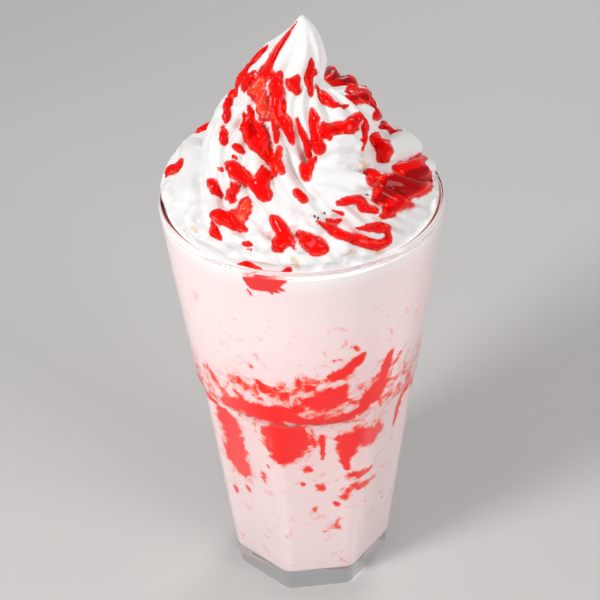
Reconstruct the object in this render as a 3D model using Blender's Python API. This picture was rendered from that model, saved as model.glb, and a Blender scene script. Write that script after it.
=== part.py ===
# Strawberry frappe in a faceted tumbler, heaped with piped whipped cream and strawberry drizzle.
# Metres, +Z up. The origin is the middle of the glass's underside, and -Y is the front.
import math

import bmesh
import bpy
from mathutils import Matrix, Vector
from mathutils.bvhtree import BVHTree

# Glass
GLASS_HEIGHT = 0.156
RIM_RADIUS = 0.0448
SHOULDER_RADIUS = 0.0387
SHOULDER_HEIGHT = 0.0925
BASE_RADIUS = 0.0298
FACETS = 8
FACET_TURN = math.radians(-107.0)
LEDGE_DEPTH = 0.0035
WALL = 0.0026
FLOOR = 0.0095
FOOT_BEVEL = 0.0010
# The softened corner between two facets, as a share of the sharp corner's radius, and where
# the points of a ring lie on one facet, from -1 at its corner to 1 at the next
CORNER_SHARE = 0.985
FACET_PLACES = (-1.0, -0.88, -0.65, -0.33, 0.0, 0.33, 0.65, 0.88)

# Drink
GAP = 0.0003
LOWER_TOP = 0.052
STRAWBERRY_TOP = 0.108
CREAM_FLOOR = 0.137
LAYER_WAVE = 0.0035
FACE_RINGS = (0.25, 0.5, 0.75, 1.0)
LOWER_PHASE = 0.6
STRAWBERRY_PHASE = 2.1
CREAM_PHASE = 4.0

# Piped cream: a ribbed rope laid in a rising, tightening coil
RIBS = 9
RIB_DEPTH = 0.27
RIB_TWIST = 2.0
COIL_START = math.radians(340.0)
ROPE_STEPS = 300
CREAM_VOXEL = 0.0008
CREAM_TRIANGLES = 8000


def clear_scene():
    for item in list(bpy.data.objects):
        bpy.data.objects.remove(item)


def material(name, colour, roughness, transmission=0.0):
    made = bpy.data.materials.new(name)
    made.use_nodes = True
    shader = made.node_tree.nodes["Principled BSDF"]
    shader.inputs["Base Color"].default_value = (*colour, 1.0)
    shader.inputs["Roughness"].default_value = roughness
    shader.inputs["Metallic"].default_value = 0.0
    shader.inputs["Transmission Weight"].default_value = transmission
    return made


def add_object(name, bm, shade):
    bmesh.ops.recalc_face_normals(bm, faces=bm.faces)
    mesh = bpy.data.meshes.new(name)
    bm.to_mesh(mesh)
    bm.free()
    mesh.shade_smooth()
    mesh.set_sharp_from_angle(angle=math.radians(30.0))
    mesh.materials.append(shade)
    made = bpy.data.objects.new(name, mesh)
    bpy.context.scene.collection.objects.link(made)
    return made


def smooth(t):
    t = min(max(t, 0.0), 1.0)
    return t * t * (3.0 - 2.0 * t)


def loft(bm, rings):
    """Join rings of points one after another and close both ends."""
    loops = [[bm.verts.new(point) for point in ring] for ring in rings]
    for lower, upper in zip(loops, loops[1:]):
        for i in range(len(lower)):
            j = (i + 1) % len(lower)
            bm.faces.new((lower[i], lower[j], upper[j], upper[i]))
    bm.faces.new(loops[0][::-1])
    bm.faces.new(loops[-1])


# The glass is a round cone down to the shoulder. Below it, eight flat facets with softened
# corners are cut into the cone, and each leaves a crescent ledge under the shoulder. The hollow
# follows the outside.

def cone_radius(z):
    """Outer radius of the cone, measured to the facets' corners below the shoulder."""
    if z >= SHOULDER_HEIGHT:
        t = (z - SHOULDER_HEIGHT) / (GLASS_HEIGHT - SHOULDER_HEIGHT)
        return SHOULDER_RADIUS + (RIM_RADIUS - SHOULDER_RADIUS) * t
    return BASE_RADIUS + (SHOULDER_RADIUS - BASE_RADIUS) * z / SHOULDER_HEIGHT


def facet_ratio(angle):
    """Distance to the side of a regular polygon, as a share of its corner radius."""
    step = 2.0 * math.pi / FACETS
    off_middle = (angle - FACET_TURN) % step - step / 2.0
    return min(math.cos(step / 2.0) / math.cos(off_middle), CORNER_SHARE)


def ring_angles():
    half = math.pi / FACETS
    middles = [FACET_TURN + half * (2 * k + 1) for k in range(FACETS)]
    return [middle + half * place for middle in middles for place in FACET_PLACES]


def wall_radius(angle, z, inset=0.0):
    """Radius of the glass's side at one height, or of a skin inside it by the inset."""
    facet = cone_radius(z) * facet_ratio(angle)
    facet_share = smooth((SHOULDER_HEIGHT - z) / LEDGE_DEPTH)
    return cone_radius(z) * (1.0 - facet_share) + facet * facet_share - inset


def wall_ring(z, inset):
    """A ring of points on the side at one height, closer together at the facets' corners."""
    ring = []
    for angle in ring_angles():
        radius = wall_radius(angle, z, inset)
        ring.append(Vector((radius * math.cos(angle), radius * math.sin(angle), z)))
    return ring


def ledge_heights():
    return [SHOULDER_HEIGHT - LEDGE_DEPTH * k / 3.0 for k in (3, 2, 1, 0)]


def make_glass():
    lip = WALL / 2.0
    rings = [wall_ring(0.0, FOOT_BEVEL), wall_ring(FOOT_BEVEL, 0.0)]
    rings += [wall_ring(z, 0.0) for z in ledge_heights()]
    rings += [wall_ring(GLASS_HEIGHT - lip, 0.0)]
    for k in range(1, 6):
        turn = math.pi * k / 6.0
        z = GLASS_HEIGHT - lip + lip * math.sin(turn)
        rings.append([Vector((p.x, p.y, z)) for p in wall_ring(GLASS_HEIGHT - lip, lip - lip * math.cos(turn))])
    rings += [wall_ring(GLASS_HEIGHT - lip, WALL)]
    rings += [wall_ring(z, WALL) for z in reversed(ledge_heights())]
    rings += [wall_ring(FLOOR + FOOT_BEVEL, WALL), wall_ring(FLOOR, WALL + FOOT_BEVEL)]
    bm = bmesh.new()
    loft(bm, rings)
    return add_object("glass", bm, material("clear_glass", (0.95, 0.95, 0.95), 0.03, 1.0))


# The drink fills the hollow in three layers that meet along wavy faces: pale shake below,
# a band marbled with strawberry, and pale shake above it, up to the cream.

def layer_face(level, phase, share, angle):
    """Height of a wavy face between two layers, flat at the middle."""
    wave = (math.sin(2.0 * angle + phase) + math.sin(3.0 * angle + 2.3 * phase)) / 2.0
    return level + LAYER_WAVE * share * share * wave


def face_rings(level, phase, flat=False):
    """Rings of one wavy face of a layer, from the middle out to the hollow's wall."""
    rings = []
    for share in FACE_RINGS:
        ring = []
        for angle in ring_angles():
            z = level if flat else layer_face(level, phase, share, angle)
            radius = share * wall_radius(angle, z, WALL + GAP)
            ring.append(Vector((radius * math.cos(angle), radius * math.sin(angle), z)))
        rings.append(ring)
    return rings


def make_layer(name, shade, bottom, top, bottom_phase, top_phase, flat_bottom=False):
    rings = face_rings(bottom, bottom_phase, flat_bottom)
    if flat_bottom:
        rings[-1] = wall_ring(bottom, WALL + GAP + FOOT_BEVEL)
        rings.append(wall_ring(bottom + FOOT_BEVEL, WALL + GAP))
    rings += [wall_ring(z, WALL + GAP) for z in ledge_heights() if bottom < z < top]
    rings += reversed(face_rings(top, top_phase))
    bm = bmesh.new()
    loft(bm, rings)
    return add_object(name, bm, shade)


def make_drink():
    pale = material("pale_shake", (0.93, 0.78, 0.77), 0.35)
    red = material("strawberry_shake", (0.86, 0.30, 0.30), 0.35)
    make_layer("frappe_lower", pale, FLOOR + GAP, LOWER_TOP - GAP, 0.0, LOWER_PHASE, flat_bottom=True)
    make_layer("strawberry_layer", red, LOWER_TOP, STRAWBERRY_TOP - GAP, LOWER_PHASE, STRAWBERRY_PHASE)
    make_layer("frappe_upper", pale, STRAWBERRY_TOP, CREAM_FLOOR - GAP, STRAWBERRY_PHASE, CREAM_PHASE)


# The cream comes out of a star nozzle as a ribbed rope. It is laid clockwise, seen from above,
# in a wide turn at the rim, a narrower one on top of that, and a peak drawn up and let go.
# Each stage states: turns laid so far, distance from the axis, height over the rim,
# the rope's radius, and how far the coil's middle has drifted along X, all in millimetres.
STAGES = (
    (0.00, 30.0, -8.0, 10.5, 0.0),
    (0.25, 30.8, 0.0, 12.6, 0.0),
    (0.75, 30.3, 0.5, 12.8, 0.0),
    (1.00, 29.5, 3.0, 13.0, 0.0),
    (1.25, 21.5, 13.5, 13.0, 0.0),
    (1.50, 14.0, 21.5, 12.3, 0.0),
    (2.00, 12.0, 24.0, 13.0, -0.5),
    (2.25, 7.0, 31.0, 12.8, -1.0),
    (2.50, 2.5, 38.0, 11.8, -1.8),
    (2.70, 0.8, 46.0, 8.8, 0.0),
    (2.85, 0.3, 53.3, 4.8, 1.3),
    (2.95, 0.0, 59.0, 0.7, 1.3),
)
# The rope stops turning about itself after this many turns, where the nozzle is drawn up
TWIST_END = 2.50


def stage_value(turns, column):
    """A value between the stages, on a smooth curve through them."""
    times = [stage[0] for stage in STAGES]
    values = [stage[column] for stage in STAGES]
    i = 0
    while i < len(times) - 2 and turns > times[i + 1]:
        i += 1
    span = times[i + 1] - times[i]
    first, last = max(i - 1, 0), min(i + 2, len(times) - 1)
    start_slope = (values[i + 1] - values[first]) / (times[i + 1] - times[first]) * span
    end_slope = (values[last] - values[i]) / (times[last] - times[i]) * span
    t = (turns - times[i]) / span
    return ((2.0 * t**3 - 3.0 * t**2 + 1.0) * values[i] + (t**3 - 2.0 * t**2 + t) * start_slope
            + (3.0 * t**2 - 2.0 * t**3) * values[i + 1] + (t**3 - t**2) * end_slope)


def over_rim(reach, angle, height):
    """A point from its distance to the axis and height over the rim, both in millimetres."""
    place = Vector((reach * math.cos(angle), reach * math.sin(angle), height)) / 1000.0
    return place + Vector((0.0, 0.0, GLASS_HEIGHT))


def rope_centre(turns):
    angle = COIL_START - 2.0 * math.pi * turns
    place = over_rim(stage_value(turns, 1), angle, stage_value(turns, 2))
    return place + Vector((stage_value(turns, 4) / 1000.0, 0.0, 0.0))


def rib_profile(angle, turns):
    """The star nozzle's outline: round crests with sharp valleys, softer and bolder in places."""
    uneven = angle + 0.10 * math.sin(2.0 * angle + 5.0 * turns) + 0.05 * math.sin(angle - 9.0 * turns)
    depth = RIB_DEPTH * (1.0 + 0.35 * math.sin(angle + 7.0 * turns) * math.sin(4.0 * turns))
    swell = 1.0 + 0.035 * math.sin(19.0 * turns + math.sin(angle))
    return swell - depth * (1.0 - abs(math.cos(RIBS * uneven / 2.0)) ** 0.8)


def rope_rings(points_round):
    end = STAGES[-1][0]
    centres = [rope_centre(end * k / ROPE_STEPS) for k in range(ROPE_STEPS + 1)]
    side = Vector((0.0, 0.0, 1.0))
    before = None
    rings = []
    for k, centre in enumerate(centres):
        along = (centres[min(k + 1, ROPE_STEPS)] - centres[max(k - 1, 0)]).normalized()
        if before is not None:
            side.rotate(before.rotation_difference(along))
        side = (side - along * side.dot(along)).normalized()
        across = along.cross(side)
        before = along
        turns = end * k / ROPE_STEPS
        twist = 2.0 * math.pi * RIB_TWIST * min(turns, TWIST_END)
        radius = stage_value(turns, 3) / 1000.0
        ring = []
        for i in range(points_round):
            angle = 2.0 * math.pi * i / points_round
            turned = angle + twist
            out = side * math.cos(turned) + across * math.sin(turned)
            ring.append(centre + out * radius * rib_profile(angle, turns))
        rings.append(ring)
    return rings


# Under the coil the cream is one heap, as the rope's turns sink into each other.
# Each step states the distance from the axis and the height over the rim, in millimetres.
HEAP = ((40.5, -12.0), (40.5, -2.0), (38.0, 5.0), (28.0, 14.0), (16.0, 26.0), (8.0, 37.0), (2.5, 45.0))
HEAP_POINTS = 64
PLUG_TOP = GLASS_HEIGHT - 0.003
RIM_CLEARANCE = 0.0008
OVERHANG_SLOPE = 0.6


def heap_rings():
    rings = []
    for radius, height in HEAP:
        ring = []
        for i in range(HEAP_POINTS):
            angle = 2.0 * math.pi * i / HEAP_POINTS
            ring.append(over_rim(radius, angle, height))
        rings.append(ring)
    return rings


def keep_inside_rim(mesh):
    """Press the cream in where it would touch the glass, and let it lean out over the lip."""
    lip_top = GLASS_HEIGHT + RIM_CLEARANCE
    for vertex in mesh.vertices:
        place = vertex.co
        angle = math.atan2(place.y, place.x)
        limit = wall_radius(angle, min(place.z, GLASS_HEIGHT), WALL + RIM_CLEARANCE)
        limit += max(place.z - lip_top, 0.0) * OVERHANG_SLOPE
        reach = math.hypot(place.x, place.y)
        if reach > limit:
            place.x *= limit / reach
            place.y *= limit / reach


def largest_body(mesh):
    """Drop every loose body of a mesh but the largest."""
    bm = bmesh.new()
    bm.from_mesh(mesh)
    left = set(bm.verts)
    bodies = []
    while left:
        stack = [left.pop()]
        body = set(stack)
        while stack:
            for edge in stack.pop().link_edges:
                for vertex in edge.verts:
                    if vertex not in body:
                        body.add(vertex)
                        stack.append(vertex)
        left -= body
        bodies.append(body)
    bodies.sort(key=len)
    scraps = [vertex for body in bodies[:-1] for vertex in body]
    bmesh.ops.delete(bm, geom=scraps, context="VERTS")
    bm.to_mesh(mesh)
    bm.free()


def apply_modifiers(item):
    """Replace the object's mesh by what its modifiers make of it."""
    depsgraph = bpy.context.evaluated_depsgraph_get()
    shaped = bpy.data.meshes.new_from_object(item.evaluated_get(depsgraph))
    item.modifiers.clear()
    item.data = shaped


def fuse(item, soften_rounds):
    """Melt the overlapping shapes of one object into a single soft skin."""
    melt = item.modifiers.new("melt", "REMESH")
    melt.mode = "VOXEL"
    melt.voxel_size = CREAM_VOXEL
    soften = item.modifiers.new("soften", "SMOOTH")
    soften.factor = 0.5
    soften.iterations = soften_rounds
    apply_modifiers(item)
    largest_body(item.data)


# Lobes and drizzle lie along lines on the cream. Each line has a width and its points, as
# azimuth from +X in degrees, distance from the axis and height over the rim in millimetres.
LOBES = (
    (7.0, (281, 21, 27), (298, 22, 26), (317, 24, 24)),
    (6.0, (304, 23, 21), (321, 25, 18)),
    (6.5, (284, 27, 20), (304, 30, 18)),
)
DRIZZLE = (
    (4.0, (202, 4, 52), (206, 8, 48), (214, 11, 44), (225, 12, 42)),
    (4.0, (211, 19, 33), (232, 22, 28), (242, 22, 25)),
    (3.8, (233, 9, 44), (244, 15, 40), (254, 18, 35), (264, 20, 29)),
    (3.6, (269, 18, 35), (274, 21, 30), (272, 26, 23)),
    (4.4, (290, 20, 33), (303, 21, 31), (321, 22, 31), (322, 24, 25)),
    (5.4, (343, 24, 23), (344, 26, 16)),
    (8.0, (309, 35, 17), (323, 35, 15), (352, 39, 5)),
    (4.2, (289, 35, 16), (304, 38, 14), (317, 39, 10)),
    (4.2, (277, 36, 13), (287, 37, 8), (300, 39, 3), (308, 39, 3)),
    (4.5, (268, 36, 8), (278, 39, 5)),
    (4.5, (257, 35, 12), (262, 37, 9), (261, 40, 6)),
    (4.2, (227, 29, 23), (235, 29, 21), (247, 31, 21), (252, 33, 18)),
    (4.6, (227, 37, 11), (236, 35, 11), (245, 38, 10)),
    (3.7, (178, 41, 7), (182, 37, 12)),
)
LOBE_RISE = 0.0028
DRIZZLE_RISE = 0.0010
BEAD_STEP = 0.0012


def bead_line(bm, skin, width, points, rise):
    """Lay round beads along a line on the skin, sunk so that they stand out by the rise."""
    bead = (width**2 / 4.0 + rise**2) / (2.0 * rise)
    places = [over_rim(reach, math.radians(azimuth), height) for azimuth, reach, height in points]
    for start, end in zip(places, places[1:]):
        steps = math.ceil((end - start).length / BEAD_STEP)
        for k in range(steps + 1):
            place, normal, _, _ = skin.find_nearest(start.lerp(end, k / steps))
            centre = place - normal * (bead - rise)
            bmesh.ops.create_icosphere(bm, subdivisions=2, radius=bead, matrix=Matrix.Translation(centre))


def add_lines(item):
    """Fuse the lobes and the drizzle onto the cream's skin."""
    bm = bmesh.new()
    bm.from_mesh(item.data)
    skin = BVHTree.FromBMesh(bm)
    for lines, rise in ((LOBES, LOBE_RISE), (DRIZZLE, DRIZZLE_RISE)):
        for width, *points in lines:
            bead_line(bm, skin, width / 1000.0, points, rise)
    bm.to_mesh(item.data)
    bm.free()
    fuse(item, 1)


def make_plug(shade):
    """The cream inside the glass, down to the drink."""
    rings = face_rings(CREAM_FLOOR, CREAM_PHASE)
    rings.append(wall_ring(PLUG_TOP, WALL + GAP))
    bm = bmesh.new()
    loft(bm, rings)
    return add_object("cream_plug", bm, shade)


def make_cream():
    shade = material("whipped_cream", (0.96, 0.95, 0.93), 0.45)
    bm = bmesh.new()
    loft(bm, rope_rings(RIBS * 10))
    loft(bm, heap_rings())
    cream = add_object("whipped_cream", bm, shade)
    fuse(cream, 1)
    add_lines(cream)
    thin = cream.modifiers.new("thin", "DECIMATE")
    thin.ratio = CREAM_TRIANGLES / sum(len(face.vertices) - 2 for face in cream.data.polygons)
    apply_modifiers(cream)
    keep_inside_rim(cream.data)
    plug = make_plug(shade)
    join = cream.modifiers.new("join", "BOOLEAN")
    join.operation = "UNION"
    join.solver = "MANIFOLD"
    join.object = plug
    apply_modifiers(cream)
    bpy.data.objects.remove(plug)
    largest_body(cream.data)
    cream.data.shade_smooth()


clear_scene()
make_glass()
make_drink()
make_cream()
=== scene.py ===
import math

import bmesh
import bpy
from mathutils import Matrix, Vector, noise
from mathutils.bvhtree import BVHTree
from mathutils.kdtree import KDTree


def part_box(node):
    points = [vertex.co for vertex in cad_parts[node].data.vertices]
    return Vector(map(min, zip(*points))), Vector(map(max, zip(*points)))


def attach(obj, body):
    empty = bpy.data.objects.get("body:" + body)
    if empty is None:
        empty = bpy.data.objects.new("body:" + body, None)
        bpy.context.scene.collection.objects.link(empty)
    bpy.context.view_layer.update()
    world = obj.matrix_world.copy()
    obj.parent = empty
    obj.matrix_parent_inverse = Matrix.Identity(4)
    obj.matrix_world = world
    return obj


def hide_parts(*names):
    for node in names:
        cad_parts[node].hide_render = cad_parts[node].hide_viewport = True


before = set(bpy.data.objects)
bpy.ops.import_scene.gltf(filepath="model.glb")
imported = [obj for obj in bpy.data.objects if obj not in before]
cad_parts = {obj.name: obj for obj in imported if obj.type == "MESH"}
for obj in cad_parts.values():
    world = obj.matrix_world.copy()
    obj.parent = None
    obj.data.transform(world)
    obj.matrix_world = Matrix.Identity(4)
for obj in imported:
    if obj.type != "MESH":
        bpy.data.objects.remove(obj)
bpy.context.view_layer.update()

scene = bpy.context.scene

# Studio: a camera looking down at the glass from arm's length, a plain pale floor and soft
# lamps. None of it belongs to the object.
GLASS_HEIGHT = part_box("glass")[1][2]
CAMERA_DISTANCE = 0.3241
CAMERA_HEIGHT = 0.3624
CAMERA_PITCH = 0.6556
CAMERA_YAW = -0.0045
CAMERA_ROLL = -0.0296
LENS = 73.8
SENSOR = 36.0
FLOOR_HALF = 1.5
FLOOR_GAP = 0.0002


def add_camera():
    data = bpy.data.cameras.new("camera")
    data.sensor_width = SENSOR
    data.lens = LENS
    data.clip_start = 0.01
    item = bpy.data.objects.new("camera", data)
    turn = Matrix.Rotation(-CAMERA_YAW, 4, "Z") @ Matrix.Rotation(math.pi / 2.0 - CAMERA_PITCH, 4, "X")
    place = Matrix.Translation((0.0, -CAMERA_DISTANCE, CAMERA_HEIGHT))
    item.matrix_world = place @ turn @ Matrix.Rotation(CAMERA_ROLL, 4, "Z")
    scene.collection.objects.link(item)
    scene.camera = item


def add_lamp(name, place, size, power):
    data = bpy.data.lights.new(name, "AREA")
    data.shape = "DISK"
    data.size = size
    data.energy = power
    item = bpy.data.objects.new(name, data)
    item.location = place
    item.visible_transmission = False
    aim = Vector((0.0, 0.0, GLASS_HEIGHT)) - Vector(place)
    item.rotation_euler = aim.to_track_quat("-Z", "Y").to_euler()
    scene.collection.objects.link(item)


def new_material(name):
    """A material, its node tree and its main shader."""
    made = bpy.data.materials.new(name)
    made.use_nodes = True
    return made, made.node_tree, made.node_tree.nodes["Principled BSDF"]


def new_object(name, bm):
    """An object at the origin from a finished bmesh."""
    mesh = bpy.data.meshes.new(name)
    bm.to_mesh(mesh)
    bm.free()
    item = bpy.data.objects.new(name, mesh)
    scene.collection.objects.link(item)
    return item


def add_floor():
    bm = bmesh.new()
    bmesh.ops.create_grid(bm, x_segments=1, y_segments=1, size=FLOOR_HALF)
    item = new_object("floor", bm)
    item.location.z = -FLOOR_GAP
    paper, _, shader = new_material("floor_paper")
    shader.inputs["Base Color"].default_value = (0.60, 0.59, 0.58, 1.0)
    shader.inputs["Roughness"].default_value = 0.8
    item.data.materials.append(paper)


def add_sky():
    world = bpy.data.worlds.new("studio_air")
    world.use_nodes = True
    air = world.node_tree.nodes["Background"]
    air.inputs["Color"].default_value = (1.0, 1.0, 1.0, 1.0)
    air.inputs["Strength"].default_value = 0.33
    scene.world = world
    scene.view_settings.view_transform = "Standard"


add_camera()
add_floor()
add_sky()
add_lamp("key", (-0.60, -0.40, 0.66), 0.24, 5.0)
add_lamp("fill", (0.65, -0.55, 0.45), 0.50, 3.3)
add_lamp("back", (0.25, 0.70, 0.65), 0.40, 2.0)


# The tumbler: pressed clear glass, a round cone down to the shoulder and eight flat facets
# below it, with softly rounded corners, a crescent ledge over each facet and a thick floor.
# It is one piece, pressed in a mould and fire-polished.
RIM_RADIUS = (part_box("glass")[1][0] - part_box("glass")[0][0]) / 2.0
SHOULDER_RADIUS = 0.0387
SHOULDER_HEIGHT = 0.0925
BASE_RADIUS = 0.0298
FACETS = 8
FACET_TURN = math.radians(-107.0)
CORNER_SHARE = 0.985
LEDGE_DEPTH = 0.0035
WALL = 0.0026
FLOOR = 0.0095
FOOT_BEVEL = 0.0010
FOOT_MIDDLE = 0.0003
GLASS_POINTS = 192
LEDGE_STEPS = 6
LIP_STEPS = 12
SHARP_EDGE = math.radians(30.0)


def smooth(t):
    t = min(max(t, 0.0), 1.0)
    return t * t * (3.0 - 2.0 * t)


def cone_radius(z):
    """Outer radius of the cone, measured to the facets' corners below the shoulder."""
    if z >= SHOULDER_HEIGHT:
        t = (z - SHOULDER_HEIGHT) / (GLASS_HEIGHT - SHOULDER_HEIGHT)
        return SHOULDER_RADIUS + (RIM_RADIUS - SHOULDER_RADIUS) * t
    return BASE_RADIUS + (SHOULDER_RADIUS - BASE_RADIUS) * z / SHOULDER_HEIGHT


def facet_ratio(angle):
    """Distance to the side of a polygon with softened corners, as a share of its corner radius."""
    step = 2.0 * math.pi / FACETS
    off_middle = (angle - FACET_TURN) % step - step / 2.0
    return min(math.cos(step / 2.0) / math.cos(off_middle), CORNER_SHARE)


def wall_radius(angle, z, inset=0.0):
    """Radius of the glass's side at one height, or of a skin inside it by the inset."""
    facet = cone_radius(z) * facet_ratio(angle)
    facet_share = smooth((SHOULDER_HEIGHT - z) / LEDGE_DEPTH)
    return cone_radius(z) * (1.0 - facet_share) + facet * facet_share - inset


def ring_angles(count):
    return [FACET_TURN + 2.0 * math.pi * i / count for i in range(count)]


def polar(radius, angle, z):
    return Vector((radius * math.cos(angle), radius * math.sin(angle), z))


def wall_ring(z, inset, level=None, count=GLASS_POINTS):
    """A ring of points along the side at one height, placed at another level if stated."""
    if level is None:
        level = z
    return [polar(wall_radius(angle, z, inset), angle, level) for angle in ring_angles(count)]


def draw_through(bm, rings):
    """Draw a capped circle out through all the rings and cap the last one too."""
    number = bm.verts.layers.int.get("number") or bm.verts.layers.int.new("number")
    start = bmesh.ops.create_circle(bm, cap_ends=True, segments=len(rings[0]), radius=1.0)
    for i, vertex in enumerate(start["verts"]):
        vertex[number] = i
        vertex.co = rings[0][i]
    edges = list(start["verts"][0].link_faces[0].edges)
    for ring in rings[1:]:
        drawn = bmesh.ops.extrude_edge_only(bm, edges=edges)["geom"]
        edges = [item for item in drawn if isinstance(item, bmesh.types.BMEdge) and item.is_boundary]
        for vertex in drawn:
            if isinstance(vertex, bmesh.types.BMVert):
                vertex.co = ring[vertex[number]]
    bmesh.ops.contextual_create(bm, geom=edges)


def smooth_object(name, bm):
    bmesh.ops.recalc_face_normals(bm, faces=bm.faces)
    item = new_object(name, bm)
    item.data.shade_smooth()
    return item


def drawn_object(name, *shapes):
    """One object of closed shapes, each drawn through its own rings."""
    bm = bmesh.new()
    for rings in shapes:
        draw_through(bm, rings)
    return smooth_object(name, bm)


def ledge_heights():
    return [SHOULDER_HEIGHT - LEDGE_DEPTH * k / LEDGE_STEPS for k in range(LEDGE_STEPS, -1, -1)]


def new_effect(name, output, kind, **values):
    """An empty node group with named inputs at their usual values and one output."""
    group = bpy.data.node_groups.new(name, "ShaderNodeTree")
    for label, value in values.items():
        entry = group.interface.new_socket(name=label, in_out="INPUT", socket_type="NodeSocketFloat")
        entry.default_value = value
    group.interface.new_socket(name=output, in_out="OUTPUT", socket_type=kind)
    return group, group.nodes.new("NodeGroupInput").outputs, group.nodes.new("NodeGroupOutput").inputs


def add_noise(group, given, *labels):
    """Noise in the object's own coordinates, set by the group's inputs of the same names."""
    place = group.nodes.new("ShaderNodeTexCoord")
    grain = group.nodes.new("ShaderNodeTexNoise")
    group.links.new(place.outputs["Object"], grain.inputs["Vector"])
    for label in labels:
        group.links.new(given[label], grain.inputs[label])
    return grain.outputs["Fac"]


def bumps_effect():
    """Small bumps of a skin, which the glass, the shake and the cream share."""
    group, given, result = new_effect("small_bumps", "Normal", "NodeSocketVector",
                                      Scale=900.0, Detail=3.0, Strength=0.1, Distance=0.0004)
    bumps = group.nodes.new("ShaderNodeBump")
    group.links.new(add_noise(group, given, "Scale", "Detail"), bumps.inputs["Height"])
    group.links.new(given["Strength"], bumps.inputs["Strength"])
    group.links.new(given["Distance"], bumps.inputs["Distance"])
    group.links.new(bumps.outputs["Normal"], result["Normal"])
    return group


def place_effect(tree, group, **values):
    """Place a shared effect in a material with its own values."""
    effect = tree.nodes.new("ShaderNodeGroup")
    effect.node_tree = group
    for label, value in values.items():
        effect.inputs[label].default_value = value
    return effect


def add_bumps(tree, shader, **values):
    effect = place_effect(tree, small_bumps, **values)
    tree.links.new(effect.outputs["Normal"], shader.inputs["Normal"])


def pressed_glass():
    """Clear glass with the faint waves that pressing leaves, which lets the lamps' light through."""
    made, tree, shader = new_material("pressed_glass")
    shader.inputs["Base Color"].default_value = (0.97, 0.98, 0.98, 1.0)
    shader.inputs["IOR"].default_value = 1.5
    shader.inputs["Transmission Weight"].default_value = 1.0
    shader.inputs["Roughness"].default_value = 0.02
    add_bumps(tree, shader, Scale=60.0, Detail=1.0, Strength=0.10, Distance=0.001)
    ray = tree.nodes.new("ShaderNodeLightPath")
    clear = tree.nodes.new("ShaderNodeBsdfTransparent")
    pass_light = tree.nodes.new("ShaderNodeMixShader")
    tree.links.new(ray.outputs["Is Shadow Ray"], pass_light.inputs["Fac"])
    tree.links.new(shader.outputs["BSDF"], pass_light.inputs[1])
    tree.links.new(clear.outputs["BSDF"], pass_light.inputs[2])
    tree.links.new(pass_light.outputs["Shader"], tree.nodes["Material Output"].inputs["Surface"])
    return made


def make_tumbler():
    lip = WALL / 2.0
    lip_start = GLASS_HEIGHT - lip
    rings = [wall_ring(0.0, FOOT_BEVEL), wall_ring(FOOT_MIDDLE, FOOT_MIDDLE), wall_ring(FOOT_BEVEL, 0.0)]
    rings += [wall_ring(z, 0.0) for z in ledge_heights()]
    for k in range(LIP_STEPS + 1):
        turn = math.pi * k / LIP_STEPS
        rings.append(wall_ring(lip_start, lip - lip * math.cos(turn), lip_start + lip * math.sin(turn)))
    rings += [wall_ring(z, WALL) for z in reversed(ledge_heights())]
    rings += [wall_ring(FLOOR + FOOT_BEVEL, WALL), wall_ring(FLOOR, WALL + FOOT_BEVEL)]
    tumbler = drawn_object("tumbler", rings)
    tumbler.data.set_sharp_from_angle(angle=SHARP_EDGE)
    tumbler.data.materials.append(pressed_glass())
    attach(tumbler, "root")
    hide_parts("glass")


small_bumps = bumps_effect()
make_tumbler()


# The shake: blended ice and milk in three layers that run into each other, pale below, thickly
# marbled with strawberry where the sauce slid down the wall, and pale pink up to the cream.
# It wets the glass, so each piece reaches just into the wall.
WETTING = 0.00015
LOWER_TOP = 0.052
STRAWBERRY_TOP = 0.108
CREAM_FLOOR = 0.137
LAYER_WAVE = 0.0035
FACE_SHARES = (0.25, 0.5, 0.75, 1.0)
LOWER_PHASE = 0.6
STRAWBERRY_PHASE = 2.1
CREAM_PHASE = 4.0
RING_STEP = 0.0009
SHAKE_POINTS = 320
# An enlarged part of the photograph: its left and top edge in the photograph's pixels, and how
# much it was enlarged. Marks picked in it are in its own pixels.
WALL_VIEW = (190, 340, 6.03)
PHOTO_SIZE = 600.0
# How far from the camera the search for the glass's wall starts and ends, and its step
SIGHT_START = 0.25
SIGHT_END = 0.55
SIGHT_STEP = 0.0002
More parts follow.
